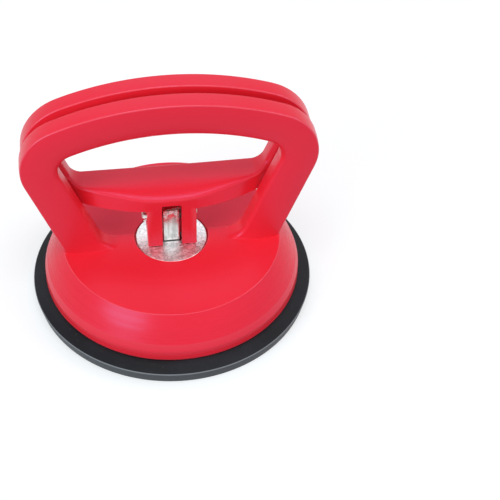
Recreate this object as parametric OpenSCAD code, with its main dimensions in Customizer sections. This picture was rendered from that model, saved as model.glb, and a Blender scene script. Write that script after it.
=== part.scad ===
// Hand vacuum lifter: one rubber suction pad under a moulded body with a fixed grip loop,
// and a second, hinged grip loop whose cam fork pulls the middle of the pad up.
// Millimetres. The origin is the middle of the pad's sealing face, +Z is up,
// +X runs along the grip and -Y is the front. The lever is drawn closed, that is locked.

/* [Rubber pad] */
// Diameter of the rubber pad over its widest edge
pad_d = 118; // [116:0.5:121]
// Diameter of the pad on its sealing face
pad_base_d = 115.4; // [113:0.2:116]
// Height of the pad's widest edge
pad_edge_h = 5.6; // [5:0.1:6.2]
// Height at which the body's rim sits on the pad
pad_seat_h = 8; // [7.4:0.1:8.6]
// Width of the flat sealing lip under the pad
lip_w = 6.8; // [6:0.2:8]
// Depth of the hollow under the pad with the lever closed
hollow_h = 6; // [5:0.25:6.5]
// Thickness of rubber under the steel insert
pad_floor = 2.6; // [2:0.1:3]

/* [Body] */
// Diameter of the body at its rim
rim_d = 107.2; // [105:0.2:110]
// Height of the near-upright rim above the pad seat
rim_h = 7.8; // [7:0.2:8.6]
// Diameter of the flat top, at its crease
plateau_d = 90.8; // [90:0.2:94]
// Height of the flat top above the sealing face
plateau_z = 26.7; // [26:0.1:28]
// Drop from the front of the flat top to the deck behind the fixed grip
deck_drop = 1; // [0.6:0.1:1.4]
// Wall of the moulded body
wall = 3; // [2.5:0.1:3.5]
// Number of stiffening ribs inside the body
rib_count = 8; // [6:1:12]

/* [Grip loops] */
// Height of the loops above the flat top
loop_h = 74.9; // [72:0.1:78]
// Height of the top bar at mid span
bar_h = 15.8; // [14.5:0.1:17]
// Radius of the arched top
arch_r = 121; // [115:1:130]
// Half width over the loop's feet
foot_out = 44.6; // [44:0.1:44.8]
// Half width between the loop's feet
foot_in = 27.9; // [27:0.1:29]
// Outward lean of the legs, outside and inside
lean_out = 20.2; // [19:0.1:21]
lean_in = 21.4; // [20.5:0.1:22]
// Corner radius outside and inside
corner_out = 22; // [20:0.5:24]
corner_in = 8.3; // [7:0.1:9.5]
// Outside corner radius of the lever's loop
lever_corner = 25; // [22:0.5:27]
// Depth of the fixed loop, front to back
fixed_depth = 9.4; // [8.6:0.1:9.8]
// Front face of the fixed loop, in front of the pivot axis
fixed_front = 6.4; // [6.2:0.1:6.8]
// Gap between the two loops when closed
loop_gap = 2.8; // [2.2:0.1:3.5]
// Depth of the lever's loop
lever_depth = 9; // [8.4:0.1:9.6]
// Edge rounding of the loops
edge_r = 2.1; // [1.5:0.1:2.5]
// Fillet of the fixed legs on the flat top
foot_fillet = 3.5; // [2:0.25:4]

/* [Lever saddle and cam fork] */
// Height of the saddle bar's top above the flat top
saddle_top = 28.9; // [28:0.1:31]
// Fall of the saddle's top from front to back
saddle_fall = 1.3; // [0:0.1:2]
// Height of the saddle bar
saddle_h = 9.9; // [9.2:0.1:10.6]
// Radius of the saddle's bowed front, seen from above
saddle_bow_r = 52.2; // [50:0.2:55]
// Fork width over both legs
fork_w = 20.3; // [19.3:0.1:21.3]
// Slot between the fork legs
fork_slot = 8.2; // [8:0.1:8.6]
// Front face of the fork, in front of the pivot axis
fork_front = 5.5; // [5.3:0.1:5.8]
// Pivot height above the fork's foot
cam_h = 12.8; // [12.4:0.1:13.2]
// Opening angle of the lever
open_angle = 60; // [50:1:60]
// How far the stud drops when the lever opens
stud_drop = 4; // [3:0.1:4.2]

/* [Steel parts] */
// Wear washer diameter and thickness
washer_d = 29.9; // [29:0.1:31]
washer_t = 1.5; // [1.2:0.1:1.8]
// Pivot pin diameter and length
pin_d = 4; // [3.6:0.1:4.2]
pin_len = 24.1; // [23.2:0.1:25.2]
// Stud width and thickness
stud_w = 7.1; // [6.8:0.1:7.2]
stud_t = 5; // [4.8:0.1:5.2]
// Steel above the pivot axis at the stud's top
stud_head = 4.2; // [4:0.1:4.5]
// Insert plate diameter and thickness
plate_d = 48; // [44:0.5:50]
plate_t = 2.5; // [2:0.1:2.8]

/* [Fits] */
// Radial clearance of the pin in the stud
pin_clear = 0.05; // [0.02:0.01:0.1]
// Clearance of the fork's foot above the washer
cam_gap = 0.3; // [0.2:0.05:0.4]
// Clearance round the washer in its recess
washer_clear = 0.4; // [0.3:0.05:0.5]
// Clearance round the stud in the washer and the body
stud_clear = 0.4; // [0.3:0.05:0.5]
// Bond line between the insert plate and the rubber
bond_gap = 0.3; // [0.2:0.05:0.4]

/* [Hidden] */
$fn = 96;
red = [0.86, 0.09, 0.15];
black = [0.10, 0.11, 0.12];
zinc = [0.78, 0.79, 0.80];
steel = [0.62, 0.63, 0.64];

pad_r = pad_d/2;
pad_base_r = pad_base_d/2;
rim_r = rim_d/2;
plateau_r = plateau_d/2;
shoulder_z = pad_seat_h + rim_h;
deck_z = plateau_z - deck_drop;
washer_top = deck_z;
washer_seat = washer_top - washer_t;
washer_hole = washer_d/2 + washer_clear;
boss_r = washer_d/2 + 4;
boss_floor = washer_seat - 7.5;
roof_z = deck_z - wall;

plate_z = hollow_h + pad_floor;
plate_top = plate_z + plate_t;
pad_cover = 1.2;
pad_back = plate_top + bond_gap + pad_cover;

pivot_z = washer_top + cam_gap + cam_h;
stud_top = pivot_z + stud_head;
drop_per_radian = stud_drop/(open_angle*PI/180);

fixed_back = fixed_depth - fixed_front;
lever_front = fixed_back + loop_gap;
lever_back = lever_front + lever_depth;
fork_back = cam_point(open_angle)[0];
bow_start = 5.9;

corner_steps = 8;
arch_steps = 10;
edge_steps = 3;
saddle_steps = 9;
turn_steps = 7;
cam_steps = 15;

// Grip loop outline, right half, seen from the front as [x, height above the flat top]

function arc(c, r, from, to, n) =
    [for (i = [0:n]) let (a = from + (to - from)*i/n) c + r*[cos(a), sin(a)]];

// Centre of the corner circle that touches the leaning leg and the arched top from inside
function corner_centre(foot, lean, apex, top_r, r) =
    let (along = [sin(lean), cos(lean)],
         start = [foot - r*cos(lean), r*sin(lean)],
         from_arch = start - [0, apex - top_r],
         d = from_arch*along,
         t = -d + sqrt(d*d - from_arch*from_arch + pow(top_r - r, 2)))
    start + t*along;

function leg_point(foot, lean, h) = [foot + h*tan(lean), h];

function leg_top(foot, lean, apex, top_r, r) =
    corner_centre(foot, lean, apex, top_r, r)[1] - r*sin(lean);

// Upper corner and arch, from the top of the leg to mid span
function upper_half(foot, lean, apex, top_r, r) =
    let (c = corner_centre(foot, lean, apex, top_r, r),
         phi = atan2(c[1] - apex + top_r, c[0]),
         corner = arc(c, r, -lean, phi, corner_steps),
         arch = arc([0, apex - top_r], top_r, phi, 90, arch_steps))
    concat(corner, [for (i = [1:arch_steps]) arch[i]]);

// Centre of the lower corner circle that touches a level line and the leaning leg from inside
function low_corner(foot, lean, level, r) =
    let (h = level + r) [foot + h*tan(lean) - r/cos(lean), h];

outer_upper = upper_half(foot_out, lean_out, loop_h, arch_r, corner_out);
lever_upper = upper_half(foot_out, lean_out, loop_h, arch_r, lever_corner);
inner_upper = upper_half(foot_in, lean_in, loop_h - bar_h, arch_r - bar_h, corner_in);
outer_leg_top = leg_top(foot_out, lean_out, loop_h, arch_r, corner_out);
inner_leg_top = leg_top(foot_in, lean_in, loop_h - bar_h, arch_r - bar_h, corner_in);

// Mirrors a half path that ends at mid span into a whole one
function mirrored(half) =
    let (n = len(half))
    concat(half, [for (i = [n - 2:-1:0]) [-half[i][0], half[i][1]]]);

// Rounded rectangle between an inner and an outer point of the loop, as [x, y, z] points
function ring(inside, outside, front, back, r) =
    let (w = norm(outside - inside), u = (outside - inside)/w,
         centres = [[w - r, back - r], [r, back - r], [r, front + r], [w - r, front + r]])
    [for (q = [0:3]) for (k = [0:edge_steps])
        let (a = 90*q + 90*k/edge_steps,
             p = inside + u*(centres[q][0] + r*cos(a)))
        [p[0], centres[q][1] + r*sin(a), p[1] + plateau_z]];

// Skin over a row of rings, with its two end rings capped
module skin(rings) {
    last = len(rings) - 1;
    m = len(rings[0]);
    sides = [for (i = [0:last - 1]) for (j = [0:m - 1])
        let (a = i*m + j, b = i*m + (j + 1)%m, c = b + m, d = a + m)
        each [[a, c, b], [a, d, c]]];
    caps = [[for (j = [0:m - 1]) j], [for (j = [m - 1:-1:0]) last*m + j]];
    polyhedron([for (one = rings) each one], concat(sides, caps));
}

// Body

module base_profile() {
    slope = (plateau_r - rim_r)/(plateau_z - shoulder_z);
    inner_rim = rim_r - wall - 1.4;
    inner_low = rim_r - wall;
    roof_r = rim_r - wall + slope*(roof_z - shoulder_z);
    polygon([[inner_rim, pad_seat_h], [rim_r, pad_seat_h], [rim_r, shoulder_z - 1.2],
             [rim_r - 0.35, shoulder_z], [rim_r - 0.35 + slope, shoulder_z + 1.2],
             [plateau_r + 0.3, plateau_z - 0.9], [plateau_r - 0.6, plateau_z],
             [0, plateau_z], [0, boss_floor], [boss_r, boss_floor], [boss_r, roof_z],
             [roof_r, roof_z], [inner_low, shoulder_z - 1], [inner_low, pad_seat_h + 3],
             [inner_rim, pad_seat_h + 2]]);
}

module ribs() {
    for (i = [0:rib_count - 1])
        rotate(360*(i + 0.5)/rib_count)
            intersection() {
                translate([boss_r - 1, -1, roof_z - 5])
                    cube([rim_r, 2, 6]);
                rotate_extrude()
                    polygon([[0, roof_z - 5], [rim_r - wall - 5, roof_z - 5],
                             [rim_r - wall - 8, roof_z + 1], [0, roof_z + 1]]);
            }
}

module base_shell() {
    color(red)
    difference() {
        union() {
            rotate_extrude() base_profile();
            ribs();
        }
        translate([-pad_r, fixed_back, deck_z])
            cube([2*pad_r, pad_r, plateau_z]);
        translate([0, 0, washer_seat])
            cylinder(r = washer_hole, h = plateau_z);
        translate([-stud_w/2 - stud_clear, -stud_t/2 - stud_clear, 0])
            cube([stud_w + 2*stud_clear, stud_t + 2*stud_clear, plateau_z]);
    }
}

// Fixed grip loop, standing on the flat top

module fixed_handle() {
    fillet_steps = [0, 0.1, 0.25, 0.5, 1];
    leg_steps = [0.25, 0.5, 0.75];
    out_half = concat(
        [for (s = fillet_steps) leg_point(foot_out, lean_out, s*foot_fillet)],
        [for (s = leg_steps)
            leg_point(foot_out, lean_out, foot_fillet + s*(outer_leg_top - foot_fillet))],
        outer_upper);
    in_half = concat(
        [for (s = fillet_steps)
            let (flare = foot_fillet*(1 - sqrt(1 - pow(1 - s, 2))))
            leg_point(foot_in, lean_in, s*foot_fillet) - [flare, 0]],
        [for (s = leg_steps)
            leg_point(foot_in, lean_in, foot_fillet + s*(inner_leg_top - foot_fillet))],
        inner_upper);
    outside = mirrored(out_half);
    inside = mirrored(in_half);
    color(red)
    skin([for (i = [0:len(outside) - 1])
        ring(inside[i], outside[i], -fixed_front, fixed_back, edge_r)]);
}

// Lever: the hinged grip loop, closed below by a saddle bar that bows forward to the cam fork

// Depth of the saddle at x, as a multiple of the loop's own depth
function saddle_stretch(x) =
    let (bow = (pow(abs(x) - bow_start, 2) - pow(fork_w/2 - bow_start, 2))/(2*saddle_bow_r),
         front = min(lever_front, -fork_front + max(0, bow)))
    (lever_back - front)/lever_depth;

// Ring of the lever's loop; saddle is 1 along the saddle bar and fades to 0 round the loop's corner
function lever_ring(inside, outside, saddle) =
    [for (p = ring(inside, outside, lever_front, lever_back, edge_r))
        let (k = saddle > 0 ? saddle_stretch(p[0]) : 1,
             rise = (p[2] - plateau_z - saddle_top + saddle_h)/saddle_h,
             behind = (p[1] - lever_front)/lever_depth)
        [p[0], lever_back - (lever_back - p[1])*k, p[2] - saddle*saddle_fall*rise*behind]];

// Ring of the saddle where it meets the fork, at the fork's side
fork_ring = lever_ring([fork_w/2, saddle_top], [fork_w/2, saddle_top - saddle_h], 1);

// From the fork's right side along the saddle, round the loop and back to its left side
module lever_loop() {
    level = saddle_top - saddle_h;
    turn_r_out = corner_in + 1;
    turn_r_in = corner_in - 2.5;
    low_out = low_corner(foot_out, lean_out, level, turn_r_out);
    low_in = low_corner(foot_in, lean_in, saddle_top, turn_r_in);
    start = fork_w/2;
    saddle_out = [for (i = [0:saddle_steps])
        [start + (low_out[0] - start)*i/saddle_steps, level]];
    saddle_in = [for (i = [0:saddle_steps])
        [start + (low_in[0] - start)*i/saddle_steps, saddle_top]];
    turn_out = arc(low_out, turn_r_out, -90, -lean_out, turn_steps);
    turn_in = arc(low_in, turn_r_in, -90, -lean_in, turn_steps);
    half_out = concat(saddle_out, [for (i = [1:turn_steps]) turn_out[i]], lever_upper);
    half_in = concat(saddle_in, [for (i = [1:turn_steps]) turn_in[i]], inner_upper);
    outside = mirrored(half_out);
    inside = mirrored(half_in);
    last = len(outside) - 1;
    skin([for (i = [0:last])
        let (past = max(0, min(i, last - i) - saddle_steps))
        lever_ring(inside[i], outside[i], max(0, 1 - past/turn_steps))]);
}

// Point of the cam that faces the washer at an opening angle, as [y, z] from the pivot axis.
// The curve is the envelope of the washer's face while the stud drops in step with the turn.
function cam_point(angle) =
    let (reach = cam_h - drop_per_radian*angle*PI/180)
    [reach*sin(angle) - drop_per_radian*cos(angle),
     -reach*cos(angle) - drop_per_radian*sin(angle)];

// Side view of the fork and of the saddle above it, as [y, z] from the pivot axis
module fork_shape() {
    top = plateau_z + saddle_top - saddle_h/2 - pivot_z;
    polygon(concat(
        [[-fork_front, top], [-fork_front, -cam_h]],
        [for (i = [0:cam_steps]) cam_point(open_angle*i/cam_steps)],
        [[fork_back, top]]));
    polygon([for (p = fork_ring) [p[1], p[2] - pivot_z]]);
}

module lever() {
    slot_top = stud_top + 5.4;
    color(red)
    difference() {
        union() {
            lever_loop();
            translate([0, 0, pivot_z])
                rotate([90, 0, 90])
                    linear_extrude(fork_w, center = true)
                        fork_shape();
        }
        translate([-fork_slot/2, -3*fork_front, washer_top])
            cube([fork_slot, 3*fork_front + fork_back + 0.5, slot_top - washer_top]);
        translate([0, 0, pivot_z])
            rotate([0, 90, 0])
                cylinder(d = pin_d, h = pin_len, center = true);
    }
}

// Steel parts

module wear_washer() {
    color(zinc)
    difference() {
        translate([0, 0, washer_seat])
            cylinder(d = washer_d, h = washer_t);
        translate([-stud_w/2 - stud_clear, -stud_t/2 - stud_clear, 0])
            cube([stud_w + 2*stud_clear, stud_t + 2*stud_clear, plateau_z]);
    }
}

module stud() {
    color(steel)
    difference() {
        translate([-stud_w/2, -stud_t/2, plate_top])
            cube([stud_w, stud_t, stud_top - plate_top]);
        translate([0, 0, pivot_z])
            rotate([0, 90, 0])
                cylinder(r = pin_d/2 + pin_clear, h = 2*stud_w, center = true);
    }
}

module insert_plate() {
    color(steel)
    translate([0, 0, plate_z])
        cylinder(d = plate_d, h = plate_t);
}

module pivot_pin() {
    bevel = 0.4;
    r = pin_d/2;
    color(steel)
    translate([-pin_len/2, 0, pivot_z])
        rotate([0, 90, 0])
            rotate_extrude()
                polygon([[0, 0], [r - bevel, 0], [r, bevel], [r, pin_len - bevel],
                         [r - bevel, pin_len], [0, pin_len]]);
}

// Rubber pad, domed as the closed lever holds it, with the insert plate moulded in

module pad_profile() {
    lip_in = pad_base_r - lip_w;
    dome_r = plate_d/2 + 9;
    plate_r = plate_d/2 + bond_gap;
    neck = norm([stud_w, stud_t])/2 + bond_gap;
    difference() {
        polygon([[0, hollow_h], [dome_r, hollow_h - 0.3], [lip_in - 2, 1.2], [lip_in, 0],
                 [pad_base_r - 0.6, 0], [pad_base_r, 0.6], [pad_r, pad_edge_h - 0.5],
                 [pad_r - 0.4, pad_edge_h], [rim_r, pad_seat_h],
                 [rim_r - 8, pad_seat_h], [dome_r, pad_back - 0.8], [dome_r - 3, pad_back],
                 [0, pad_back]]);
        translate([0, plate_z - bond_gap])
            square([plate_r, plate_t + 2*bond_gap]);
        translate([0, plate_z])
            square([neck, pad_back]);
    }
}

module rubber_pad() {
    color(black)
    rotate_extrude() pad_profile();
}

base_shell();
fixed_handle();
wear_washer();
rubber_pad();
stud();
insert_plate();
lever();
pivot_pin();
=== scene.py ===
import math
import bmesh
import bpy
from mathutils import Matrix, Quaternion, Vector, noise


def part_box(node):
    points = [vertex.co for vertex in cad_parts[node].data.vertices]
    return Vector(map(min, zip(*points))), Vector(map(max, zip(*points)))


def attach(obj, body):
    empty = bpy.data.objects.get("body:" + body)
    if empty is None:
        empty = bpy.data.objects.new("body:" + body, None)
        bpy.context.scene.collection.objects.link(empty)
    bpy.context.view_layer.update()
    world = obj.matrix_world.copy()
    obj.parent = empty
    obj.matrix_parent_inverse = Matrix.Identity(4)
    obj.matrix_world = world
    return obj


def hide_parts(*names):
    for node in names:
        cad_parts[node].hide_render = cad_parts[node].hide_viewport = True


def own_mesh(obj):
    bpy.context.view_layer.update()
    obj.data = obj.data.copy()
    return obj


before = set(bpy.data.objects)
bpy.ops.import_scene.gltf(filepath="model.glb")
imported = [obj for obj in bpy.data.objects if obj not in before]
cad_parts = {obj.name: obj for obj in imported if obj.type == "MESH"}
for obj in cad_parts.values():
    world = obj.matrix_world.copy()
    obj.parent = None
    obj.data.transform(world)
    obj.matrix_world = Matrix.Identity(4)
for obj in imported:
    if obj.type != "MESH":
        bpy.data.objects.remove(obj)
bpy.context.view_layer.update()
mm = 0.001
weld = 0.001*mm  # vertices nearer than this become one
near = 0.1*mm  # tolerance when edges are picked by their place
past = 5*mm  # how far a cutting block reaches past the piece


# Short forms of the moves that every piece is modelled with

def deselectAll():
    if bpy.context.object and bpy.context.object.mode != "OBJECT":
        bpy.ops.object.mode_set(mode="OBJECT")
    bpy.ops.object.select_all(action="DESELECT")


def pick(piece):
    deselectAll()
    bpy.context.view_layer.objects.active = piece
    piece.select_set(True)


def named(name):  # the primitive just added, with its place put into its mesh
    piece = bpy.context.object
    piece.name = piece.data.name = name
    bpy.ops.object.transform_apply(location=True, rotation=True, scale=True)
    return piece


def addBlock(name, low, high):
    deselectAll()
    low, high = Vector(low), Vector(high)
    bpy.ops.mesh.primitive_cube_add(size=1, location=(low + high)/2, scale=high - low)
    return named(name)


def addRod(name, start, end, radius, sides):
    deselectAll()
    along = Vector(end) - Vector(start)
    turn = along.to_track_quat("Z", "Y").to_euler()
    middle = (Vector(start) + Vector(end))/2
    bpy.ops.mesh.primitive_cylinder_add(
        vertices=sides, radius=radius, depth=along.length, location=middle, rotation=turn)
    return named(name)


def selectIn(piece, kind, test):  # selects edges or faces in edit mode by a test on each
    pick(piece)
    bpy.ops.object.mode_set(mode="EDIT")
    bpy.ops.mesh.select_mode(type={"edges": "EDGE", "faces": "FACE"}[kind])
    bpy.ops.mesh.select_all(action="DESELECT")
    mesh = bmesh.from_edit_mesh(piece.data)
    for element in getattr(mesh, kind):
        if test(element):
            element.select_set(True)
    mesh.select_flush_mode()
    bmesh.update_edit_mesh(piece.data)


def middle(element):
    points = [vert.co for vert in element.verts]
    return sum(points, Vector())/len(points)


def drop(edge):  # how far an edge runs up or down
    return abs(edge.verts[0].co.z - edge.verts[1].co.z)


def bevelEdges(piece, test, width, segments):
    selectIn(piece, "edges", test)
    bpy.ops.mesh.bevel(offset=width, segments=segments, affect="EDGES", clamp_overlap=True)
    bpy.ops.object.mode_set(mode="OBJECT")


def closeUp(piece):  # merges doubles and turns every face outwards
    pick(piece)
    bpy.ops.object.mode_set(mode="EDIT")
    bpy.ops.mesh.select_all(action="SELECT")
    bpy.ops.mesh.remove_doubles(threshold=weld)
    bpy.ops.mesh.normals_make_consistent(inside=False)
    bpy.ops.object.mode_set(mode="OBJECT")


def combine(piece, other, operation):  # union or difference with another piece, which is used up
    pick(piece)
    modifier = piece.modifiers.new(operation, "BOOLEAN")
    modifier.operation = operation
    modifier.solver = "EXACT"
    modifier.object = other
    bpy.ops.object.modifier_apply(modifier=modifier.name)
    bpy.data.objects.remove(other)


def smooth(piece, degrees):
    pick(piece)
    bpy.ops.object.shade_smooth_by_angle(angle=math.radians(degrees))


def flattenShading(piece):  # big faces keep their own normal, and the roundings take up the turn
    pick(piece)
    modifier = piece.modifiers.new("flatFaces", "WEIGHTED_NORMAL")
    modifier.keep_sharp = True
    bpy.ops.object.modifier_apply(modifier=modifier.name)


def arc(centre, radius, start, end, steps):  # points on a circle, angles in radians
    angles = [start + (end - start)*i/steps for i in range(steps + 1)]
    return [centre + radius*Vector((math.cos(a), math.sin(a))) for a in angles]


def roundedPath(corners, steps=5):  # [(across, up, radius)] as points, each corner rounded
    spots = [Vector((across, up)) for across, up, radius in corners]
    path = []
    for i, (across, up, radius) in enumerate(corners):
        if radius == 0 or i in (0, len(corners) - 1):
            path.append(spots[i])
            continue
        back = (spots[i - 1] - spots[i]).normalized()
        ahead = (spots[i + 1] - spots[i]).normalized()
        half = back.angle(ahead)/2
        centre = spots[i] + (back + ahead).normalized()*radius/math.sin(half)
        first = (spots[i] + back*radius/math.tan(half) - centre).normalized()
        last = (spots[i] + ahead*radius/math.tan(half) - centre).normalized()
        path += [centre + radius*first.slerp(last, step/steps) for step in range(steps + 1)]
    return path


def spinProfile(name, path, steps):  # a chain of edges extruded from one vertex, spun round Z
    path = [Vector((spot.x, 0, spot.y)) for spot in path]
    deselectAll()
    bpy.ops.mesh.primitive_plane_add(size=mm, location=path[0])
    piece = named(name)
    bpy.ops.object.mode_set(mode="EDIT")
    bpy.ops.mesh.select_mode(type="VERT")
    bpy.ops.mesh.merge(type="CENTER")
    for before, after in zip(path, path[1:]):
        bpy.ops.mesh.extrude_vertices_move(TRANSFORM_OT_translate={"value": after - before})
    bpy.ops.mesh.select_all(action="SELECT")
    bpy.ops.mesh.spin(steps=steps, angle=2*math.pi, center=(0, 0, 0), axis=(0, 0, 1))
    closeUp(piece)
    return piece


def placeRing(piece, before, after):  # moves the selected ring of vertices on to the next ring
    mesh = bmesh.from_edit_mesh(piece.data)
    for vert in [vert for vert in mesh.verts if vert.select]:
        match = min(range(len(before)), key=lambda i: (vert.co - before[i]).length_squared)
        vert.co = after[match]
    bmesh.update_edit_mesh(piece.data)


def sweepSection(name, rings, closed):  # a section extruded from ring to ring
    deselectAll()
    fill = "NOTHING" if closed else "NGON"
    bpy.ops.mesh.primitive_circle_add(vertices=len(rings[0]), radius=mm, fill_type=fill)
    piece = named(name)
    bpy.ops.object.mode_set(mode="EDIT")
    bpy.ops.mesh.select_mode(type="VERT")
    start = [vert.co.copy() for vert in bmesh.from_edit_mesh(piece.data).verts]
    placeRing(piece, start, rings[0])
    for before, after in zip(rings, rings[1:]):
        bpy.ops.mesh.extrude_region_move()
        placeRing(piece, before, after)
    if closed:
        bpy.ops.mesh.select_all(action="DESELECT")
        bpy.ops.mesh.select_mode(type="EDGE")
        bpy.ops.mesh.select_non_manifold()
        bpy.ops.mesh.bridge_edge_loops()
    closeUp(piece)
    return piece


# The grip loops: both follow one leaning, arched outline

loop = {
    "height": 74.9*mm, "bar": 15.6*mm, "archRadius": 121*mm,
    "footOut": 44.6*mm, "footIn": 27.9*mm,
    "leanOut": math.radians(20.2), "leanIn": math.radians(21.4),
    "cornerOut": 22*mm, "cornerIn": 8.3*mm,
    "edge": 0.65*mm, "innerEdge": 2.4*mm,
    "crownAcross": math.radians(11), "crownAlong": math.radians(4),
    "cornerSteps": 16, "archSteps": 24, "edgeSteps": 5, "flatSteps": 6, "smooth": 38,
}
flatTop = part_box("fixed_handle")[0].z


def legPoint(foot, lean, height):
    return Vector((foot + height*math.tan(lean), height))


def upperHalf(foot, lean, apex, archRadius, corner):  # upper corner and arch up to mid span
    along = Vector((math.sin(lean), math.cos(lean)))
    start = Vector((foot - corner*math.cos(lean), corner*math.sin(lean)))
    fromArch = start - Vector((0, apex - archRadius))
    reach = fromArch.dot(along)
    span = math.sqrt(reach*reach - fromArch.length_squared + (archRadius - corner)**2)
    centre = start + (span - reach)*along
    meet = math.atan2(centre.y - apex + archRadius, centre.x)
    bend = arc(centre, corner, -lean, meet, loop["cornerSteps"])
    top = arc(Vector((0, apex - archRadius)), archRadius, meet, math.pi/2, loop["archSteps"])
    return bend + top[1:]


def mirrored(half):  # half an outline that ends at mid span, made whole
    return half + [Vector((-spot.x, spot.y)) for spot in half[-2::-1]]


def section(inside, outside, front, back, crown=1.0, rows=None, square=False, innerFront=None):
    # a rounded, slightly crowned bar section, its faces in the order outside, back, inside, front;
    # rows has the shares where a face is split, square keeps the outside front corner sharp, and
    # innerFront is the rounding of the inside front corner
    width, depth = (outside - inside).length, back - front
    across = (outside - inside)/width
    edges = [loop["edge"]]*2 + [innerFront or loop["edge"], loop["edge"]]
    tilts = [loop["crownAlong"], loop["crownAcross"]*crown]*2
    lengths = [depth, width]*2
    rises = [(length - 2*loop["edge"])*math.tan(tilt)/4 for tilt, length in zip(tilts, lengths)]
    plain = [i/loop["flatSteps"] for i in range(1, loop["flatSteps"])]
    corners = []
    for quarter, edge in enumerate(edges):
        sharp = square and quarter == 3
        insets = [edge*math.cos(tilt) + rise for tilt, rise in zip(tilts, rises)]
        centre = Vector((width - insets[0] if quarter in (0, 3) else insets[2],
                         back - insets[1] if quarter < 2 else front + insets[3]))
        first = math.pi/2*quarter + (0 if sharp else tilts[quarter])
        last = math.pi/2*(quarter + 1) - (0 if sharp else tilts[(quarter + 1) % 4])
        turn = arc(centre, edge, first, last, loop["edgeSteps"])
        if sharp:
            turn = [centre + (spot - centre)*edge/max(abs(spot.x - centre.x), abs(spot.y - centre.y))
                    for spot in turn]
        corners.append(turn)
    points = []
    for quarter, turn in enumerate(corners):
        face = (quarter + 1) % 4
        points += turn
        start, end = turn[-1], corners[face][0]
        normal = math.pi/2*(quarter + 1)
        bulge = (end - start).length*math.tan(tilts[face])
        for share in (rows or {}).get(face, plain):
            lift = bulge*share*(1 - share)
            points.append(start.lerp(end, share) + lift*Vector((math.cos(normal), math.sin(normal))))
    return [Vector((inside.x + across.x*spot.x, spot.y, inside.y + across.y*spot.x + flatTop))
            for spot in points]


apex = loop["height"]
innerApex = loop["height"] - loop["bar"]
innerArch = loop["archRadius"] - loop["bar"]
innerUpper = upperHalf(loop["footIn"], loop["leanIn"], innerApex, innerArch, loop["cornerIn"])


# Body: the drum and the fixed grip loop are one moulding

body = {
    "rimRadius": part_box("base_shell")[1].x, "seat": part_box("base_shell")[0].z, "wall": 3*mm,
    "washerGap": 0.55*mm, "recessFoot": 0.2*mm, "recessEdge": 0.35*mm, "studGap": 0.4*mm,
    "creaseRadius": 45.4*mm, "creaseRound": 0.4*mm, "flankBulge": 0.2*mm, "flankRound": 45*mm,
    "shoulder": 16.2*mm, "shoulderIn": 1.1*mm, "shoulderRound": 0.25*mm,
    "rimFall": 3*mm, "rimRound": 4*mm, "hemHeight": 1*mm, "hemIn": 0.5*mm, "hemRound": 0.4*mm,
    "seatRound": 0.2*mm, "ledge": 1.4*mm, "ledgeLow": 2*mm, "ledgeHigh": 3*mm, "ledgeRound": 0.5*mm,
    "roofDrop": 1*mm, "roofIn": 5.2*mm, "roofRound": 1*mm,
    "bossRadius": 18.95*mm, "bossFloor": 16.7*mm, "bossRoot": 0.8*mm, "bossEdge": 0.5*mm,
    "deckDrop": 1.2*mm, "deckReach": 1.5*mm, "creaseReach": 2*mm, "stepNear": 0.01*mm,
    "deckStep": ((-0.8*mm, 0), (-0.5*mm, 0.12), (-0.2*mm, 0.88), (0.1*mm, 1)),
    "footFillet": 6*mm, "filletTurns": (5, 12, 20, 30, 42, 55, 70, 90), "frontFillet": 0.35*mm,
    "footCorner": 3*mm, "root": 2.2*mm, "rootTop": 0.4*mm, "legShares": (0.3, 0.65),
    "turnSteps": 160,
}
washerLow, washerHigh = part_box("wear_washer")
studLow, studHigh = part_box("stud")
handleLow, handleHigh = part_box("fixed_handle")


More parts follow.
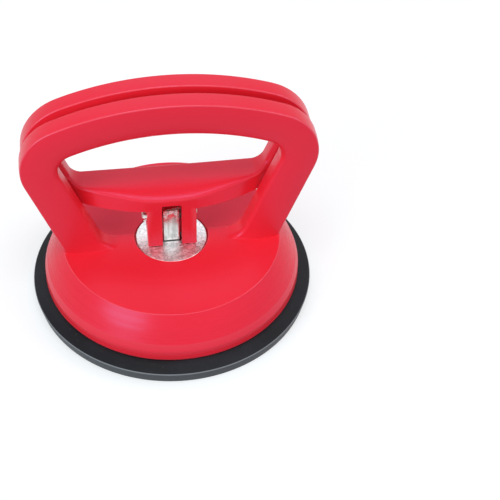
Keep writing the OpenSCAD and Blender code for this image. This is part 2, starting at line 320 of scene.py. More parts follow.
def makeDrum():
    recess = washerHigh.x + body["washerGap"]
    roof = washerHigh.z - body["wall"]
    seat, rim = body["seat"], body["rimRadius"]
    inner = rim - body["wall"]
    ledge = inner - body["ledge"]
    crease = Vector((body["creaseRadius"], flatTop))
    shoulder = Vector((rim - body["shoulderIn"], body["shoulder"]))
    flank = shoulder - crease
    bulge = Vector((-flank.y, flank.x)).normalized()*body["flankBulge"]
    belly = crease + flank/2 + 2*bulge
    drum = spinProfile("drum", roundedPath([
        (0, washerLow.z, 0), (recess, washerLow.z, body["recessFoot"]),
        (recess, flatTop, body["recessEdge"]), (body["creaseRadius"], flatTop, body["creaseRound"]),
        (belly.x, belly.y, body["flankRound"]), (shoulder.x, shoulder.y, body["shoulderRound"]),
        (rim, shoulder.y - body["rimFall"], body["rimRound"]),
        (rim, seat + body["hemHeight"], body["hemRound"]),
        (rim - body["hemIn"], seat, body["seatRound"]), (ledge, seat, body["seatRound"]),
        (ledge, seat + body["ledgeLow"], 0),
        (inner, seat + body["ledgeHigh"], body["ledgeRound"]),
        (inner, body["shoulder"] - body["roofDrop"], body["roofRound"]),
        (inner - body["roofIn"], roof, body["roofRound"]),
        (body["bossRadius"], roof, body["bossRoot"]),
        (body["bossRadius"], body["bossFloor"], body["bossEdge"]), (0, body["bossFloor"], 0)]),
        body["turnSteps"])
    slope = -flank.x/flank.y
    pick(drum)
    bpy.ops.object.mode_set(mode="EDIT")
    for along, share in body["deckStep"]:  # an S-shaped drop to the rear deck
        bpy.ops.mesh.select_all(action="SELECT")
        bpy.ops.mesh.bisect(plane_co=(0, handleHigh.y + along, 0), plane_no=(0, 1, 0))
    mesh = bmesh.from_edit_mesh(drum.data)
    for vert in mesh.verts:
        behind = vert.co.y - handleHigh.y
        shares = [share for along, share in body["deckStep"] if behind > along - body["stepNear"]]
        fall = max(shares, default=0)*body["deckDrop"]
        if vert.co.z > flatTop - body["deckReach"]:
            vert.co.z -= fall
            radius = vert.co.xy.length
            if radius > body["creaseRadius"] - body["creaseReach"]:  # the crease slides down the flank
                vert.co.xy *= (radius + fall*slope)/radius
    bmesh.update_edit_mesh(drum.data)
    bpy.ops.object.mode_set(mode="OBJECT")
    gap = Vector((body["studGap"], body["studGap"], 0))
    slot = addBlock("slot", Vector((studLow.x, studLow.y, 0)) - gap, studHigh + gap)
    combine(drum, slot, "DIFFERENCE")
    return drum


def makeFixedLoop():
    fillet = body["footFillet"]
    turns = [math.radians(turn) for turn in body["filletTurns"]]
    slip = 1 - math.sin(turns[0])  # share of the fillet left where it meets the flat top
    outHalf, inHalf, flares = [], [], []
    for height in (-body["root"], -body["rootTop"]):  # the root that goes into the drum
        outHalf.append(legPoint(loop["footOut"], 0, height))
        inHalf.append(legPoint(loop["footIn"], 0, height) - Vector((slip*fillet, 0)))
        flares.append(slip)
    for turn in turns:  # a quarter round from the flat top to the leg
        height = fillet*(1 - math.cos(turn))
        flare = 1 - math.sin(turn)
        outHalf.append(legPoint(loop["footOut"], loop["leanOut"], height))
        inHalf.append(legPoint(loop["footIn"], loop["leanIn"], height) - Vector((flare*fillet, 0)))
        flares.append(flare)
    outerUpper = upperHalf(
        loop["footOut"], loop["leanOut"], apex, loop["archRadius"], loop["cornerOut"])
    for share in body["legShares"]:
        for half, upper, foot, lean in ((outHalf, outerUpper, "footOut", "leanOut"),
                                        (inHalf, innerUpper, "footIn", "leanIn")):
            height = fillet + share*(upper[0].y - fillet)
            half.append(legPoint(loop[foot], loop[lean], height))
        flares.append(0)
    outside, inside = mirrored(outHalf + outerUpper), mirrored(inHalf + innerUpper)
    flares += [0]*(len(outside) - 2*len(flares)) + flares[::-1]
    widen = body["footCorner"] - loop["innerEdge"]  # the inner front corner opens out into the flat top
    rings = [section(one, other, handleLow.y - flare*body["frontFillet"], handleHigh.y,
                     innerFront=loop["innerEdge"] + widen*flare)
             for one, other, flare in zip(inside, outside, flares)]
    return sweepSection("fixedLoop", rings, closed=False)


def makeBody():
    moulding = makeDrum()
    moulding.name = moulding.data.name = "body_moulding"
    combine(moulding, makeFixedLoop(), "UNION")
    closeUp(moulding)
    smooth(moulding, loop["smooth"])
    flattenShading(moulding)
    return moulding


# Lever: the same loop, closed below by a saddle that bows forward into the cam fork

lever = {
    "corner": 25*mm, "depth": 9*mm, "lowRoundOut": 9.3*mm, "lowRoundIn": 5.8*mm, "turnSteps": 12,
    "saddleTop": 28.4*mm, "saddleFall": 1.8*mm, "saddleHeight": 9.4*mm, "saddleSteps": 9,
    "noseDrop": 3.3*mm, "noseLength": 12*mm, "noseReach": 38*mm, "noseFade": 1.5, "noseEdge": 1.2*mm,
    "topRows": (0.14, 0.28, 0.4, 0.5, 0.58, 0.64, 0.69, 0.74, 0.78, 0.82, 0.86, 0.9, 0.94, 0.97),
    "frontLean": 1.2*mm, "bowRadius": 52.2*mm, "bowStart": 5.9*mm, "blend": 0.9*mm,
    "forkWidth": 20.3*mm, "forkSteps": (0, 2.2*mm, 5*mm, 7.6*mm),
    "forkRows": (0.17, 0.34, 0.51, 0.68, 0.84, 1), "behindRows": (0.33, 0.66),
    "forkRound": 0.45*mm, "roundSteps": 3, "forkBend": math.radians(50), "forkBelow": 0.3*mm,
    "downward": -0.9, "underNear": 0.5*mm,
    "camHeight": 12.8*mm, "camHalvings": 40, "openAngle": math.radians(60), "studDrop": 4*mm,
    "forkSlot": 8.2*mm, "slotRoom": 5.4*mm, "slotBack": 3.4*mm, "slotStep": 0.7*mm,
    "slotThrough": 0.5*mm, "slotRound": 0.5*mm, "ribGap": 0.15*mm, "ribBack": 3.5*mm,
    "pinGap": 0.02*mm, "boreSides": 48,
}
leverLow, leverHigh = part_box("lever")
pinLow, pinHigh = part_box("pivot_pin")
pivot = (pinLow.z + pinHigh.z)/2
pinRadius = (pinHigh.z - pinLow.z)/2
leverFront = leverHigh.y - lever["depth"]
forkHalf = lever["forkWidth"]/2
perRadian = lever["studDrop"]/lever["openAngle"]


def camPoint(angle):  # where the foot touches the washer at an opening angle, as (y, z) from the pin
    reach = lever["camHeight"] - perRadian*angle
    return (reach*math.sin(angle) - perRadian*math.cos(angle),
            -reach*math.cos(angle) - perRadian*math.sin(angle))


forkBack = camPoint(lever["openAngle"])[0]


def camHeight(y):  # height of the cam foot at y, from the pin
    low, high = 0, lever["openAngle"]
    for halving in range(lever["camHalvings"]):
        angle = (low + high)/2
        low, high = (angle, high) if camPoint(angle)[0] < y else (low, angle)
    return camPoint(low)[1]


def saddleFront(x):  # front face of the saddle at x
    ahead = (abs(x) - lever["bowStart"])**2 - (forkHalf - lever["bowStart"])**2
    return min(leverFront, leverLow.y + max(0, ahead/(2*lever["bowRadius"])))


def saddleStretch(x):  # depth of the saddle at x, as a multiple of the loop's own depth
    return (leverHigh.y - saddleFront(x))/lever["depth"]


def noseShare(x):  # 1 in the middle of the saddle, 0 at its ends
    return max(0, 1 - (x/lever["noseReach"])**2)**lever["noseFade"]


def noseDip(x, y):  # how far the saddle's top slopes down to its front edge, most in the middle
    share = noseShare(x)
    if share == 0:
        return 0
    ahead = max(0, 1 - (y - saddleFront(x))/(lever["noseLength"]*share))
    return lever["noseDrop"]*share*ahead*ahead


def frontLean(x, y):  # how far the top of the front face leans back, most between fork and leg
    forward = (leverHigh.y - y)/(leverHigh.y - saddleFront(x))
    return lever["frontLean"]*4*noseShare(x)*(1 - noseShare(x))*forward


def lowCorner(foot, lean, level, radius):  # centre of the circle between a level line and the leg
    height = level + radius
    return Vector((loop[foot] + height*math.tan(loop[lean]) - radius/math.cos(loop[lean]), height))


def makeLeverLoop(level):
    roundOut, roundIn = lever["lowRoundOut"], lever["lowRoundIn"]
    lowOut = lowCorner("footOut", "leanOut", level, roundOut)
    lowIn = lowCorner("footIn", "leanIn", lever["saddleTop"], roundIn)
    start = forkHalf + lever["blend"]
    inFork = [*lever["forkSteps"], forkHalf]  # sections inside the fork's width
    shares = [i/lever["saddleSteps"] for i in range(lever["saddleSteps"] + 1)]
    outXs = inFork + [start + (lowOut.x - start)*share for share in shares]
    inXs = inFork + [start + (lowIn.x - start)*share for share in shares]
    steps = lever["turnSteps"]
    turnOut = arc(lowOut, roundOut, -math.pi/2, -loop["leanOut"], steps)[1:]
    turnIn = arc(lowIn, roundIn, -math.pi/2, -loop["leanIn"], steps)[1:]
    upper = upperHalf(loop["footOut"], loop["leanOut"], apex, loop["archRadius"], lever["corner"])
    outHalf = [Vector((x, level)) for x in outXs] + turnOut + upper
    inHalf = [Vector((x, lever["saddleTop"])) for x in inXs] + turnIn + innerUpper
    edge = loop["edge"]
    forkRow = leverHigh.y - (leverHigh.y - forkBack)/saddleStretch(0)
    forkShare = (forkRow - leverFront - edge)/(lever["depth"] - 2*edge)
    under = [forkShare*share for share in lever["forkRows"]]
    under += [forkShare + (1 - forkShare)*share for share in lever["behindRows"]]
    rows = {0: under, 2: lever["topRows"]}
    rings = []
    for i, (inside, outside) in enumerate(zip(inHalf, outHalf)):
        saddle = max(0, min(1, 1 - (i - len(outXs) + 1)/steps))  # fades out round the corner
        nose = loop["innerEdge"] + saddle*(lever["noseEdge"] - loop["innerEdge"])
        square = i < len(inFork)
        ring = []
        for spot in section(inside, outside, leverFront, leverHigh.y, 1 - saddle, rows, square, nose):
            stretch = saddleStretch(spot.x) if saddle > 0 else 1
            y = leverHigh.y - (leverHigh.y - spot.y)*stretch
            rise = (spot.z - flatTop - level)/lever["saddleHeight"]  # 0 at the underside, 1 at the top
            fall = lever["saddleFall"]*(y - leverLow.y)/(leverHigh.y - leverLow.y)
            dip = noseDip(spot.x, y) if saddle > 0 else 0
            lean = min(1, rise)*frontLean(spot.x, y) if saddle > 0 else 0
            ring.append(Vector((spot.x, y + lean, spot.z - saddle*rise*(fall + dip))))
        rings.append(ring)
    rings += [[Vector((-p.x, p.y, p.z)) for p in ring] for ring in rings[-2:0:-1]]
    return sweepSection("lever_moulding", rings, closed=True)


def makeFork(piece, underside):
    selectIn(piece, "faces", lambda face: face.normal.z < lever["downward"]
             and abs(middle(face).x) < forkHalf and middle(face).y < forkBack
             and abs(middle(face).z - underside) < lever["underNear"])
    bpy.ops.mesh.extrude_region_move(TRANSFORM_OT_translate={"value": (0, 0, -past)})
    mesh = bmesh.from_edit_mesh(piece.data)
    for vert in [vert for vert in mesh.verts if vert.select]:
        vert.co.z = pivot + camHeight(vert.co.y)
    bmesh.update_edit_mesh(piece.data)
    bpy.ops.object.mode_set(mode="OBJECT")

    def forkEdge(edge):  # sharp outer edges of the fork below the saddle
        return (len(edge.link_faces) == 2 and edge.calc_face_angle() > lever["forkBend"]
                and middle(edge).z < underside - lever["forkBelow"]
                and middle(edge).y < forkBack + near)
    bevelEdges(piece, forkEdge, lever["forkRound"], lever["roundSteps"])


def cutFork(piece):
    slotHalf = lever["forkSlot"]/2
    slotTop = studHigh.z + lever["slotRoom"]
    front, foot = leverLow.y - past, washerHigh.z - past
    step = pivot + lever["slotStep"]
    rib = studHigh.x - stud["shy"] + lever["ribGap"]  # the rib's face, beside the stud
    lowSlot = addBlock("lowSlot", (-slotHalf, front, foot),
                       (rib, forkBack + lever["slotThrough"], step))
    combine(piece, lowSlot, "DIFFERENCE")
    besideRib = addBlock("besideRib", (0, front, foot),
                         (slotHalf, studLow.y + lever["ribBack"], step))
    combine(piece, besideRib, "DIFFERENCE")
    highSlot = addBlock("highSlot", (-slotHalf, front, pivot),
                        (slotHalf, studHigh.y + lever["slotBack"], slotTop))
    bevelEdges(highSlot, lambda edge: middle(edge).z > slotTop - near and abs(middle(edge).x) > near,
               lever["slotRound"], lever["roundSteps"])
    combine(piece, highSlot, "DIFFERENCE")
    bore = addRod("bore", (pinLow.x, 0, pivot), (pinHigh.x, 0, pivot),
                  pinRadius + lever["pinGap"], lever["boreSides"])
    combine(piece, bore, "DIFFERENCE")


def makeLever():
    level = lever["saddleTop"] - lever["saddleHeight"]
    piece = makeLeverLoop(level)
    makeFork(piece, flatTop + level)
    cutFork(piece)
    closeUp(piece)
    smooth(piece, loop["smooth"])
    flattenShading(piece)
    return piece


# Rubber pad: a stiff rim and a diaphragm, which on the real pad goes down with the stud

pad = {
    "radius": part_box("rubber_pad")[1].x, "baseRadius": 57.7*mm,
    "edgeHeight": 5.5*mm, "edgeRound": 0.45*mm,
    "lip": 6.8*mm, "lipSlope": 0.6, "lipInRound": 0.6*mm, "lipOutRound": 0.5*mm,
    "flangeReach": 2.2*mm, "flangeSink": 1.25*mm, "flangeRound": 6*mm, "flangeUnder": 0.5*mm,
    "seat": body["seat"], "split": 49.2*mm, "rimSteps": 6,
    "tuck": 1*mm, "tuckIn": 0.3*mm, "tuckUp": 0.2*mm, "tuckRound": 1*mm, "tuckDown": 0.4*mm,
    "hollow": 6*mm, "domeRadius": 33*mm, "domeFall": 0.3*mm, "domeRound": 8*mm,
    "back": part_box("rubber_pad")[1].z, "backIn": 1*mm, "backRound": 5*mm,
    "valley": 3.6*mm, "valleyDown": 0.3*mm, "valleyRound": 2*mm,
    "neck": 4.65*mm, "pocketLow": 7.6*mm, "pocketHigh": 11.9*mm, "plateGap": 0.3*mm,
    "turnSteps": 160, "smooth": 40, "downKeep": 0.6,
}
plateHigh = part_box("insert_plate")[1]
lipIn = pad["baseRadius"] - pad["lip"]
lipRise = (lipIn - pad["split"])*pad["lipSlope"]  # height of the lip's slope at the split


def makePadRim():
    path = roundedPath([
        (pad["split"], lipRise, 0), (lipIn, 0, pad["lipInRound"]),
        (pad["baseRadius"], 0, pad["lipOutRound"]),
        (pad["radius"], pad["edgeHeight"], pad["edgeRound"]),
        (body["rimRadius"] + pad["flangeReach"], pad["seat"] - pad["flangeSink"], pad["flangeRound"]),
        (body["rimRadius"] - pad["flangeUnder"], pad["seat"], 0),
        (pad["split"], pad["seat"], 0), (pad["split"], lipRise, 0)], pad["rimSteps"])
    rim = spinProfile("pad_rim", path, pad["turnSteps"])
    smooth(rim, pad["smooth"])
    return rim


def makeDiaphragm():
    split, seat = pad["split"], pad["seat"]
    tucked, tuckLow = split + pad["tuck"], lipRise + pad["tuckUp"]
    plate = plateHigh.x + pad["plateGap"]
    path = roundedPath([
        (0, pad["hollow"], 0), (pad["domeRadius"], pad["hollow"] - pad["domeFall"], pad["domeRound"]),
        (split - pad["tuckIn"], tuckLow, pad["tuckRound"]), (tucked, tuckLow, 0),
        (tucked, seat - pad["tuckDown"], 0),
        (split - pad["valley"], seat - pad["valleyDown"], pad["valleyRound"]),
        (pad["domeRadius"] - pad["backIn"], pad["back"], pad["backRound"]),
        (pad["neck"], pad["back"], 0), (pad["neck"], pad["pocketHigh"], 0),
        (plate, pad["pocketHigh"], 0),
        (plate, pad["pocketLow"], 0), (0, pad["pocketLow"], 0)])
    diaphragm = spinProfile("pad_diaphragm", path, pad["turnSteps"])
    smooth(diaphragm, pad["smooth"])
    return diaphragm


# Steel pieces

washer = {
    "edge": 0.5*mm, "underEdge": 0.15*mm, "pathSteps": 4, "turnSteps": 128,
    "holeRound": 0.6*mm, "holeSteps": 3, "smooth": 40,
}


def makeWasher():
    radius = washerHigh.x
    path = roundedPath([
        (0, washerLow.z, 0), (radius, washerLow.z, washer["underEdge"]),
        (radius, washerHigh.z, washer["edge"]), (0, washerHigh.z, 0)], washer["pathSteps"])
    disc = spinProfile("washer_plate", path, washer["turnSteps"])
    gap = Vector((body["studGap"], body["studGap"], past))
    hole = addBlock("hole", Vector((studLow.x, studLow.y, washerLow.z)) - gap,
                    Vector((studHigh.x, studHigh.y, washerHigh.z)) + gap)
    bevelEdges(hole, lambda edge: drop(edge) > past, washer["holeRound"], washer["holeSteps"])
    combine(disc, hole, "DIFFERENCE")
    closeUp(disc)
    smooth(disc, washer["smooth"])
    return disc


stud = {
    "shy": 0.25*mm, "edge": 0.35*mm, "edgeSteps": 2, "edgeDrop": 0.3*mm, "edgeBend": 1,
    "rowHeight": 0.6*mm, "rowCount": 3, "cuts": 9, "cutDepth": 2*mm,
    "tornDepth": 1.9*mm, "burr": 0.22*mm, "sink": 0.9, "shrink": 0.25,
    "tearScale": 900, "chipScale": 2300, "chipShare": 0.5,
    "boreGap": 0.05*mm, "boreSides": 48, "smooth": 30,
}


def makeStud():
    bar = addBlock("stud_bar", studLow, studHigh - Vector((stud["shy"], 0, 0)))
    pick(bar)
    bpy.ops.object.mode_set(mode="EDIT")
    for i in range(1, stud["rowCount"] + 1):  # rows that keep the sheared end's burr near the top
        bpy.ops.mesh.select_all(action="SELECT")
        bpy.ops.mesh.bisect(plane_co=(0, 0, studHigh.z - i*stud["rowHeight"]), plane_no=(0, 0, 1))
    bpy.ops.object.mode_set(mode="OBJECT")
    bevelEdges(bar, lambda edge: drop(edge) > stud["edgeDrop"] and len(edge.link_faces) == 2
               and edge.calc_face_angle() > stud["edgeBend"], stud["edge"], stud["edgeSteps"])
    selectIn(bar, "faces", lambda face: middle(face).z > studHigh.z - stud["cutDepth"])
    bpy.ops.mesh.subdivide(number_cuts=stud["cuts"])
    mesh = bmesh.from_edit_mesh(bar.data)
    for vert in mesh.verts:
        depth = studHigh.z - vert.co.z
        if depth < stud["tornDepth"]:  # a torn, slightly sunken end
            tear = noise.noise(vert.co*stud["tearScale"])
            tear += stud["chipShare"]*noise.noise(vert.co*stud["chipScale"])
            push = stud["burr"]*(1 - depth/stud["tornDepth"])*(tear - stud["sink"])
            vert.co.z += push
            vert.co.x *= 1 + stud["shrink"]*push/studHigh.x
            vert.co.y *= 1 + stud["shrink"]*push/studHigh.y
    bmesh.update_edit_mesh(bar.data)
    bpy.ops.object.mode_set(mode="OBJECT")
    bore = addRod("bore", (2*studLow.x, 0, pivot), (2*studHigh.x, 0, pivot),
                  pinRadius + stud["boreGap"], stud["boreSides"])
    combine(bar, bore, "DIFFERENCE")
    closeUp(bar)
    smooth(bar, stud["smooth"])
    return bar


pin = {
    "edge": 0.5*mm, "short": 0.7*mm, "round": 0.15*mm,
    "pathSteps": 4, "turnSteps": 64, "smooth": 30,
}


def makePin():
    edge, bend = pin["edge"], pin["round"]
    left, right = pinLow.x, forkHalf + pin["short"]
    path = roundedPath([
        (0, left, 0), (pinRadius - edge, left, bend), (pinRadius, left + edge, bend),
        (pinRadius, right - edge, bend), (pinRadius - edge, right, bend), (0, right, 0)],
        pin["pathSteps"])
    rod = spinProfile("hinge_pin", path, pin["turnSteps"])
    pick(rod)
    bpy.ops.object.mode_set(mode="EDIT")
    bpy.ops.mesh.select_all(action="SELECT")
    bpy.ops.transform.rotate(value=-math.pi/2, orient_axis="Y", center_override=(0, 0, 0))
    bpy.ops.transform.translate(value=(0, 0, pivot))
    closeUp(rod)
    smooth(rod, pin["smooth"])
    return rod


# Finishes

class Wire:  # a shader socket that can be added, multiplied and so on
    def __init__(self, tree, socket=None):
        self.tree = tree
        self.socket = socket

    def node(self, kind, settings=None, feeds=None, out=0):
        made = self.tree.nodes.new("ShaderNode" + kind)
        for key, value in (settings or {}).items():
            setattr(made, key, value)
        for key, value in (feeds or {}).items():
            if isinstance(value, Wire):
                self.tree.links.new(value.socket, made.inputs[key])
            else:
                made.inputs[key].default_value = value
        return Wire(self.tree, made.outputs[out])

    def maths(self, operation, first, second):
        return self.node("Math", {"operation": operation}, {0: first, 1: second})

    def __add__(self, other):
        return self.maths("ADD", self, other)

    def __radd__(self, other):
        return self.maths("ADD", other, self)

    def __sub__(self, other):
        return self.maths("SUBTRACT", self, other)

    def __rsub__(self, other):
        return self.maths("SUBTRACT", other, self)

    def __mul__(self, other):
        return self.maths("MULTIPLY", self, other)

    def __rmul__(self, other):
        return self.maths("MULTIPLY", other, self)

    def between(self, low, high):  # 0 at low, 1 at high, smooth in between
        return self.node("MapRange", {"interpolation_type": "SMOOTHSTEP"},
                         {"Value": self, "From Min": low, "From Max": high})

    def tint(self, first, second):  # colour from first to second along this value
        return self.node("Mix", {"data_type": "RGBA"}, {0: self, 6: first, 7: second}, 2)

    def swing(self, amount):  # a noise centred on 0
        return amount*(self - 0.5)


def newFinish(name, fixed):  # a material with its unchanging sockets set, ready for its wires
    material = bpy.data.materials.new(name)
    material.use_nodes = True
    tree = material.node_tree
    shader = tree.nodes["Principled BSDF"]
    for key, value in fixed.items():
        shader.inputs[key].default_value = value
    place = Wire(tree).node("TexCoord", out="Object")

    def connect(**wires):
        for key, wire in wires.items():
            tree.links.new(wire.socket, shader.inputs[key.replace("_", " ")])
    return material, place, connect


def cloud(place, scale, detail=2.0, stretch=None):  # noise, drawn out along an axis where asked
    if stretch:
        place = place.node("Mapping", None, {"Vector": place, "Scale": stretch})
    return place.node("TexNoise", None, {"Vector": place, "Scale": scale, "Detail": detail}, "Fac")


def bump(height, distance, strength):
    return height.node("Bump", None, {"Height": height, "Distance": distance, "Strength": strength})


def coordinate(place, letter):
    return place.node("SeparateXYZ", None, {"Vector": place}, letter)


def fromAxis(place):  # distance from the object's upright axis
    x, y = coordinate(place, "X"), coordinate(place, "Y")
    return place.maths("POWER", x*x + y*y, 0.5)


def edgeHighlightMask(place):  # how far each vertex stands out, stored on the mesh by markEdges; it places the painted edge highlight and the edge polish
    return place.node("Attribute", {"attribute_name": "edgeHighlightPolish"}, out="Fac")


# paintedSheen is a painted highlight colour, used on edges, creases and the rim under its shoulder
red = {
    "deep": (0.87, 0.020, 0.036, 1), "bright": (0.92, 0.023, 0.043, 1), "paintedSheen": (0.95, 0.17, 0.22, 1),
    "specular": 0.34, "specularTint": (0.1, 0.52, 1.0, 1), "roughness": 0.30,
    "flow": 16, "flowRange": (0.25, 0.75), "grain": 3200, "grainRough": 0.06,
    "speck": 500, "speckBump": 0.3, "streak": 45, "streakStretch": (1, 7, 7), "streakRough": 0.08,
    "edgePale": 0.26, "speckPale": 0.2, "edgePolish": 0.1,
    "rimSheen": 0.12, "rimSheenOver": 0.15*mm, "rimSheenUnder": 0.1*mm, "rimSheenReach": 5*mm,
    "turned": 1000, "turnedTop": (25.6*mm, 25.2*mm), "turnedRough": 0.3, "turnedBump": 0.8,
    "bumpDepth": 0.02*mm, "bump": 0.12,
}


def turnedLines(place):  # fine rings left by the mould's turned cavity, on the drum alone
    height = coordinate(place, "Z")
    ring = place.node("CombineXYZ", None, {"X": fromAxis(place), "Z": height})
    fine = cloud(ring, red["turned"], 4)
    return 0.5 + (fine - 0.5)*height.between(*red["turnedTop"])


def redAbs():
    material, place, connect = newFinish("red_abs_moulded", {
        "Specular IOR Level": red["specular"], "Specular Tint": red["specularTint"]})
    flow = cloud(place, red["flow"])
    grain = cloud(place, red["grain"])
    speck = cloud(place, red["speck"], 3)
    streak = cloud(place, red["streak"], 3, red["streakStretch"])
    edge = edgeHighlightMask(place)
    colour = flow.between(*red["flowRange"]).tint(red["deep"], red["bright"])
    edgeHighlight = edge*(red["edgePale"] + red["speckPale"]*speck)  # painted highlight: edges and creases are painted paler
    colour = edgeHighlight.tint(colour, red["paintedSheen"])
    height, shoulder = coordinate(place, "Z"), body["shoulder"]
    rimSheenMask = height.between(shoulder + red["rimSheenOver"], shoulder - red["rimSheenUnder"])
    rimSheenMask = rimSheenMask*height.between(shoulder - red["rimSheenReach"], shoulder)
    colour = (rimSheenMask*red["rimSheen"]).tint(colour, red["paintedSheen"])  # painted sheen: a pale band on the rim just under its shoulder, fading downwards
    turned = turnedLines(place)
    rough = red["roughness"] + grain.swing(red["grainRough"]) + streak.swing(red["streakRough"])
    rough = rough - red["edgePolish"]*edge + turned.swing(red["turnedRough"])
    relief = grain + red["speckBump"]*speck + red["turnedBump"]*turned
    connect(Base_Color=colour, Roughness=rough, Normal=bump(relief, red["bumpDepth"], red["bump"]))
    return material


# edge is the grey of both the painted edge highlight and the real dust specks
rubber = {
    "dark": (0.009, 0.0092, 0.0115, 1), "bloomed": (0.018, 0.0185, 0.0225, 1),
    "side": (0.095, 0.096, 0.106, 1), "edge": (0.30, 0.30, 0.32, 1),
    "specular": 0.14, "roughness": 0.52,
    "bloom": 45, "bloomRange": (0.35, 0.75), "bloomRough": 0.16, "grain": 1900, "grainRough": 0.12,
    "dust": 900, "dustRange": (0.68, 0.74), "dustShare": 0.06, "rings": 4200, "ringBump": 0.12,
    "sideFrom": (56.8*mm, 57.3*mm), "sideTop": (5.6*mm, 5.2*mm), "sideShare": 0.7, "sideBloom": 0.3,
    "edgeFrom": (58*mm, 58.6*mm), "edgeShare": 0.7,
    "bumpDepth": 0.04*mm, "bump": 0.25,
}


def blackRubber():
    material, place, connect = newFinish("black_rubber_moulded", {
        "Specular IOR Level": rubber["specular"]})
    bloom = cloud(place, rubber["bloom"], 5)
    grain = cloud(place, rubber["grain"], 3)
    dust = cloud(place, rubber["dust"]).between(*rubber["dustRange"])
    radius = fromAxis(place)
    rings = place.node("Math", {"operation": "SINE"}, {0: radius*rubber["rings"]})
    colour = bloom.between(*rubber["bloomRange"]).tint(rubber["dark"], rubber["bloomed"])
    # painted reflection: the pad's outer side is painted a paler grey
    outside = radius.between(*rubber["sideFrom"])*coordinate(place, "Z").between(*rubber["sideTop"])
    sideSheenShare = outside*(rubber["sideShare"] + rubber["sideBloom"]*bloom)
    colour = sideSheenShare.tint(colour, rubber["side"])
    rubberEdgeHighlight = edgeHighlightMask(place)*radius.between(*rubber["edgeFrom"])*rubber["edgeShare"]  # painted highlight: the pad's outer edge is painted grey
    colour = rubberEdgeHighlight.tint(colour, rubber["edge"])
    colour = (dust*rubber["dustShare"]).tint(colour, rubber["edge"])
    rough = rubber["roughness"] + bloom.swing(rubber["bloomRough"]) + grain.swing(rubber["grainRough"])
    relief = bump(grain + rubber["ringBump"]*rings, rubber["bumpDepth"], rubber["bump"])
    connect(Base_Color=colour, Roughness=rough, Normal=relief)
    return material


zinc = {
    "light": (0.98, 0.98, 1.0, 1), "dull": (0.36, 0.38, 0.41, 1), "roughness": 0.35,
    "cells": 1300, "cellShare": 0.65, "cellRough": 0.14,
    "smear": 240, "smearShare": 0.4, "smearRough": 0.14, "lightShare": 0.1,
    "grit": 2300, "gritBump": 0.8, "bumpDepth": 0.07*mm, "bump": 0.8,
    "slotShade": (0.03, 0.02, 0.02, 1), "slotShadeShare": 0.92,
    "slotShadeAcross": (5*mm, 4.2*mm), "slotShadeFade": 1*mm,
}


def inSlot(place):  # 1 between the fork's legs, where the steel is painted darker as shade
    across = place.node("Math", {"operation": "ABSOLUTE"}, {0: coordinate(place, "X")})
    return across.between(*zinc["slotShadeAcross"])


def zincPlate():
    material, place, connect = newFinish("zinc_plated", {"Metallic": 1.0})
    cells = place.node("TexVoronoi", None, {"Vector": place, "Scale": zinc["cells"]}, "Color")
    spangle = place.node("SeparateColor", None, {"Color": cells})
    smear = cloud(place, zinc["smear"], 4)
    grit = cloud(place, zinc["grit"])
    shine = zinc["cellShare"]*spangle + zinc["smearShare"]*smear + zinc["lightShare"]
    colour = shine.tint(zinc["dull"], zinc["light"])
    # painted shade on the washer between the fork's legs, from the stud's front backwards
    slotShade = inSlot(place)*coordinate(place, "Y").between(studLow.y, studLow.y + zinc["slotShadeFade"])
    colour = (zinc["slotShadeShare"]*slotShade).tint(colour, zinc["slotShade"])
    rough = zinc["roughness"] + spangle.swing(zinc["cellRough"]) + smear.swing(zinc["smearRough"])
    relief = bump(spangle + zinc["gritBump"]*grit, zinc["bumpDepth"], zinc["bump"])
    connect(Base_Color=colour, Roughness=rough, Normal=relief)
    return material


bare = {
    "light": (0.88, 0.89, 0.86, 1), "dark": (0.34, 0.34, 0.33, 1), "roughness": 0.22,
    "drawn": 900, "drawnShade": 2.2, "drawnRough": 0.15, "drawnBump": 0.7,
    "upright": (1, 1, 0.07), "crosswise": (0.07, 1, 1),
    "stain": 330, "stainRange": (0.4, 0.8), "stainShade": 0.3, "stainRough": 0.12, "shade": 0.15,
    "tornLow": 6.5*mm, "tornHigh": 1.5*mm, "tornRange": (0.4, 0.6), "tornShade": 0.9,
    "tornRough": 0.2, "tornBump": 7, "chips": 1500, "chipRange": (0.4, 0.6),
    "bumpDepth": 0.06*mm, "bump": 0.6,
}


def bareSteel(name, stretch, slotShaded):
    material, place, connect = newFinish(name, {"Metallic": 1.0})
    drawn = cloud(place, bare["drawn"], 3, stretch)
    stain = cloud(place, bare["stain"], 5)
    chips = cloud(place, bare["chips"], 3)
    upper = coordinate(place, "Z").between(studHigh.z - bare["tornLow"], studHigh.z - bare["tornHigh"])
    torn = upper*stain.between(*bare["tornRange"])  # patches near the sheared end
    shade = bare["shade"] + bare["stainShade"]*stain.between(*bare["stainRange"])
    shade = shade + drawn.swing(bare["drawnShade"])
    shade = shade + bare["tornShade"]*torn*chips.between(*bare["chipRange"])
    colour = shade.tint(bare["light"], bare["dark"])
    # painted shade on the pin's middle, between the fork's legs
    if slotShaded:
        colour = (zinc["slotShadeShare"]*inSlot(place)).tint(colour, zinc["slotShade"])
    rough = bare["roughness"] + drawn.swing(bare["drawnRough"]) + stain.swing(bare["stainRough"])
    rough = rough + bare["tornRough"]*torn
    relief = bare["drawnBump"]*drawn + bare["tornBump"]*torn*chips
    connect(Base_Color=colour, Roughness=rough, Normal=bump(relief, bare["bumpDepth"], bare["bump"]))
    return material


edgeMark = {
    "start": 0.6, "narrowest": 0.02*mm,
    "footNear": 1.2*mm, "footFrom": 17*mm, "footTo": 44*mm,
}


def sharpness(edge):  # bend over an edge, per metre across it
    if len(edge.link_faces) != 2:
        return 0
    one, other = [face.calc_center_median() for face in edge.link_faces]
    line = (edge.verts[1].co - edge.verts[0].co).normalized()
    across = (other - one) - line*(other - one).dot(line)
    return edge.calc_face_angle_signed()/max(across.length, edgeMark["narrowest"])


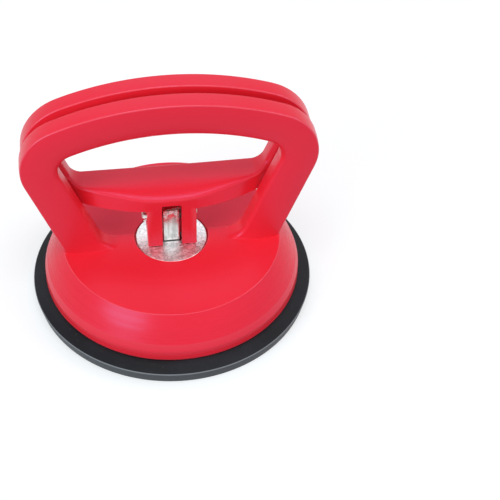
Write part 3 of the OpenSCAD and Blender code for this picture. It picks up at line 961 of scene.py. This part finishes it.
def markEdges(piece, spared=lambda spot: False):  # stores how far each vertex stands out, for the painted edge highlight and the edge polish
    mesh = bmesh.new()
    mesh.from_mesh(piece.data)
    values = []
    for vert in mesh.verts:
        bends = [] if spared(vert.co) else [sharpness(edge) for edge in vert.link_edges]
        values.append(min(1, max(0, max(bends, default=0)*mm - edgeMark["start"])))
    mesh.free()
    attribute = piece.data.attributes.new("edgeHighlightPolish", "FLOAT", "POINT")
    attribute.data.foreach_set("value", values)


def atFoot(spot):  # where the grip loop grows out of the flat top
    onTop = abs(spot.z - flatTop) < edgeMark["footNear"]
    return onTop and edgeMark["footFrom"] < spot.xy.length < edgeMark["footTo"]


def dress(piece, material, bodyName, slotName, *replaced):
    piece.data.materials.clear()
    piece.data.materials.append(material)
    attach(piece, bodyName)
    if replaced:
        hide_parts(*replaced)


redPlastic, padRubber, plated = redAbs(), blackRubber(), zincPlate()
drawnSteel = bareSteel("bare_steel_drawn", bare["upright"], False)
turnedSteel = bareSteel("bare_steel_turned", bare["crosswise"], True)
print("finishes ready")

bodyMoulding = makeBody()
markEdges(bodyMoulding, atFoot)
dress(bodyMoulding, redPlastic, "base", "red_abs", "base_shell", "fixed_handle")
print("body moulding", len(bodyMoulding.data.polygons), "faces")

leverMoulding = makeLever()
markEdges(leverMoulding)
dress(leverMoulding, redPlastic, "lever_body", "red_abs", "lever")
print("lever moulding", len(leverMoulding.data.polygons), "faces")

padRim = makePadRim()
markEdges(padRim)
dress(padRim, padRubber, "base", "black_rubber", "rubber_pad")
diaphragm = makeDiaphragm()
dress(diaphragm, padRubber, "base", "black_rubber", "rubber_pad")
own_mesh(diaphragm)
print("rubber pad ready")

dress(makeWasher(), plated, "base", "zinc_plate", "wear_washer")
dress(makeStud(), drawnSteel, "stud_body", "bare_steel", "stud")
dress(makePin(), turnedSteel, "lever_body", "bare_steel", "pivot_pin")
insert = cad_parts["insert_plate"]
insert.data.materials.clear()
insert.data.materials.append(drawnSteel)
print("steel pieces ready")


# Floor, light and camera

studio = {
    "floorSize": 8, "floorDrop": 0.1*mm, "floorColour": (0.48, 0.48, 0.49, 1), "floorLift": 0.575,
    "skyColour": (0.94, 0.97, 1.0), "skyStrength": 0.50, "white": (1, 1, 1, 1),
    "lampColour": (0.92, 0.96, 1.0), "lampAim": (0, 0, 0.03),
    "keyPower": 7.2, "keySize": (0.88, 0.52), "keyPlace": (-0.89, -0.80, 0.51),
    "keyColour": (0.72, 0.98, 1.0),
    "topPower": 4.6, "topSize": (0.9, 0.4), "topPlace": (0.0, -0.38, 1.24),
    "fillPower": 3.6, "fillSize": (0.9, 0.6), "fillPlace": (0.99, -0.08, 0.82),
    "backPower": 0.9, "backSize": (1.0, 0.7), "backPlace": (0.1, 0.89, 0.94),
}


def shownRays(start):  # 1 for rays that show the surroundings, 0 for those that only light the object
    seen = start.node("LightPath", out="Is Camera Ray")
    glossy = start.node("LightPath", out="Is Glossy Ray")
    through = start.node("LightPath", out="Is Transmission Ray")
    return start.maths("MINIMUM", seen + glossy + through, 1.0)


def makeFloor():
    deselectAll()
    bpy.ops.mesh.primitive_plane_add(size=studio["floorSize"], location=(0, 0, -studio["floorDrop"]))
    floor = named("floor")
    material = bpy.data.materials.new("pale_floor")
    material.use_nodes = True
    tree = material.node_tree
    tree.nodes.remove(tree.nodes["Principled BSDF"])
    start = Wire(tree)
    lift = shownRays(start)*studio["floorLift"]
    matt = start.node("BsdfDiffuse", None, {"Color": studio["floorColour"]})
    glow = start.node("Emission", None, {"Strength": lift})
    both = start.node("AddShader", None, {0: matt, 1: glow})
    tree.links.new(both.socket, tree.nodes["Material Output"].inputs["Surface"])
    floor.data.materials.append(material)


def makeWorld():
    world = bpy.data.worlds.new("studio")
    world.use_nodes = True
    bpy.context.scene.world = world
    tree = world.node_tree
    dim = Vector(studio["skyColour"])*studio["skyStrength"]
    colour = shownRays(Wire(tree)).tint((*dim, 1), studio["white"])
    tree.links.new(colour.socket, tree.nodes["Background"].inputs["Color"])


def makeLamp(name):
    place = Vector(studio[name + "Place"])
    deselectAll()
    bpy.ops.object.light_add(type="AREA", location=place)
    lamp = bpy.context.object
    lamp.name = name
    lamp.data.shape = "ELLIPSE"
    lamp.data.size, lamp.data.size_y = studio[name + "Size"]
    lamp.data.energy = studio[name + "Power"]
    lamp.data.color = studio.get(name + "Colour", studio["lampColour"])
    lamp.rotation_euler = (Vector(studio["lampAim"]) - place).to_track_quat("-Z", "Y").to_euler()


camera = {  # fitted to the pad's, rim's and flat top's circles in the photograph
    "yaw": math.radians(4.8), "elevation": math.radians(46.51), "distance": 690.6*mm,
    "roll": math.radians(1.47), "focalPixels": 1600, "pixels": 500,
    "originX": 172.49, "originY": 278.35, "sensor": 36, "clipStart": 0.01, "clipEnd": 20,
}


def makeCamera():
    flat = camera["distance"]*math.cos(camera["elevation"])
    place = Vector((-flat*math.sin(camera["yaw"]), -flat*math.cos(camera["yaw"]),
                    camera["distance"]*math.sin(camera["elevation"])))
    look = (-place).to_track_quat("-Z", "Y")
    roll = Quaternion((0, 0, 1), -camera["roll"])
    half = camera["pixels"]/2
    aim = Vector((camera["originX"] - half, half - camera["originY"], -camera["focalPixels"]))
    swing = Vector((0, 0, -1)).rotation_difference(aim.normalized()).inverted()
    deselectAll()
    bpy.ops.object.camera_add(location=place)
    eye = bpy.context.object
    eye.rotation_mode = "QUATERNION"
    eye.rotation_quaternion = look @ roll @ swing
    eye.data.sensor_width = camera["sensor"]
    eye.data.lens = camera["focalPixels"]/camera["pixels"]*camera["sensor"]
    eye.data.clip_start, eye.data.clip_end = camera["clipStart"], camera["clipEnd"]
    bpy.context.scene.camera = eye


makeFloor()
makeWorld()
for lampName in ("key", "top", "back", "fill"):
    makeLamp(lampName)
makeCamera()
bpy.context.scene.view_settings.view_transform = "Standard"
deselectAll()
print("studio ready")
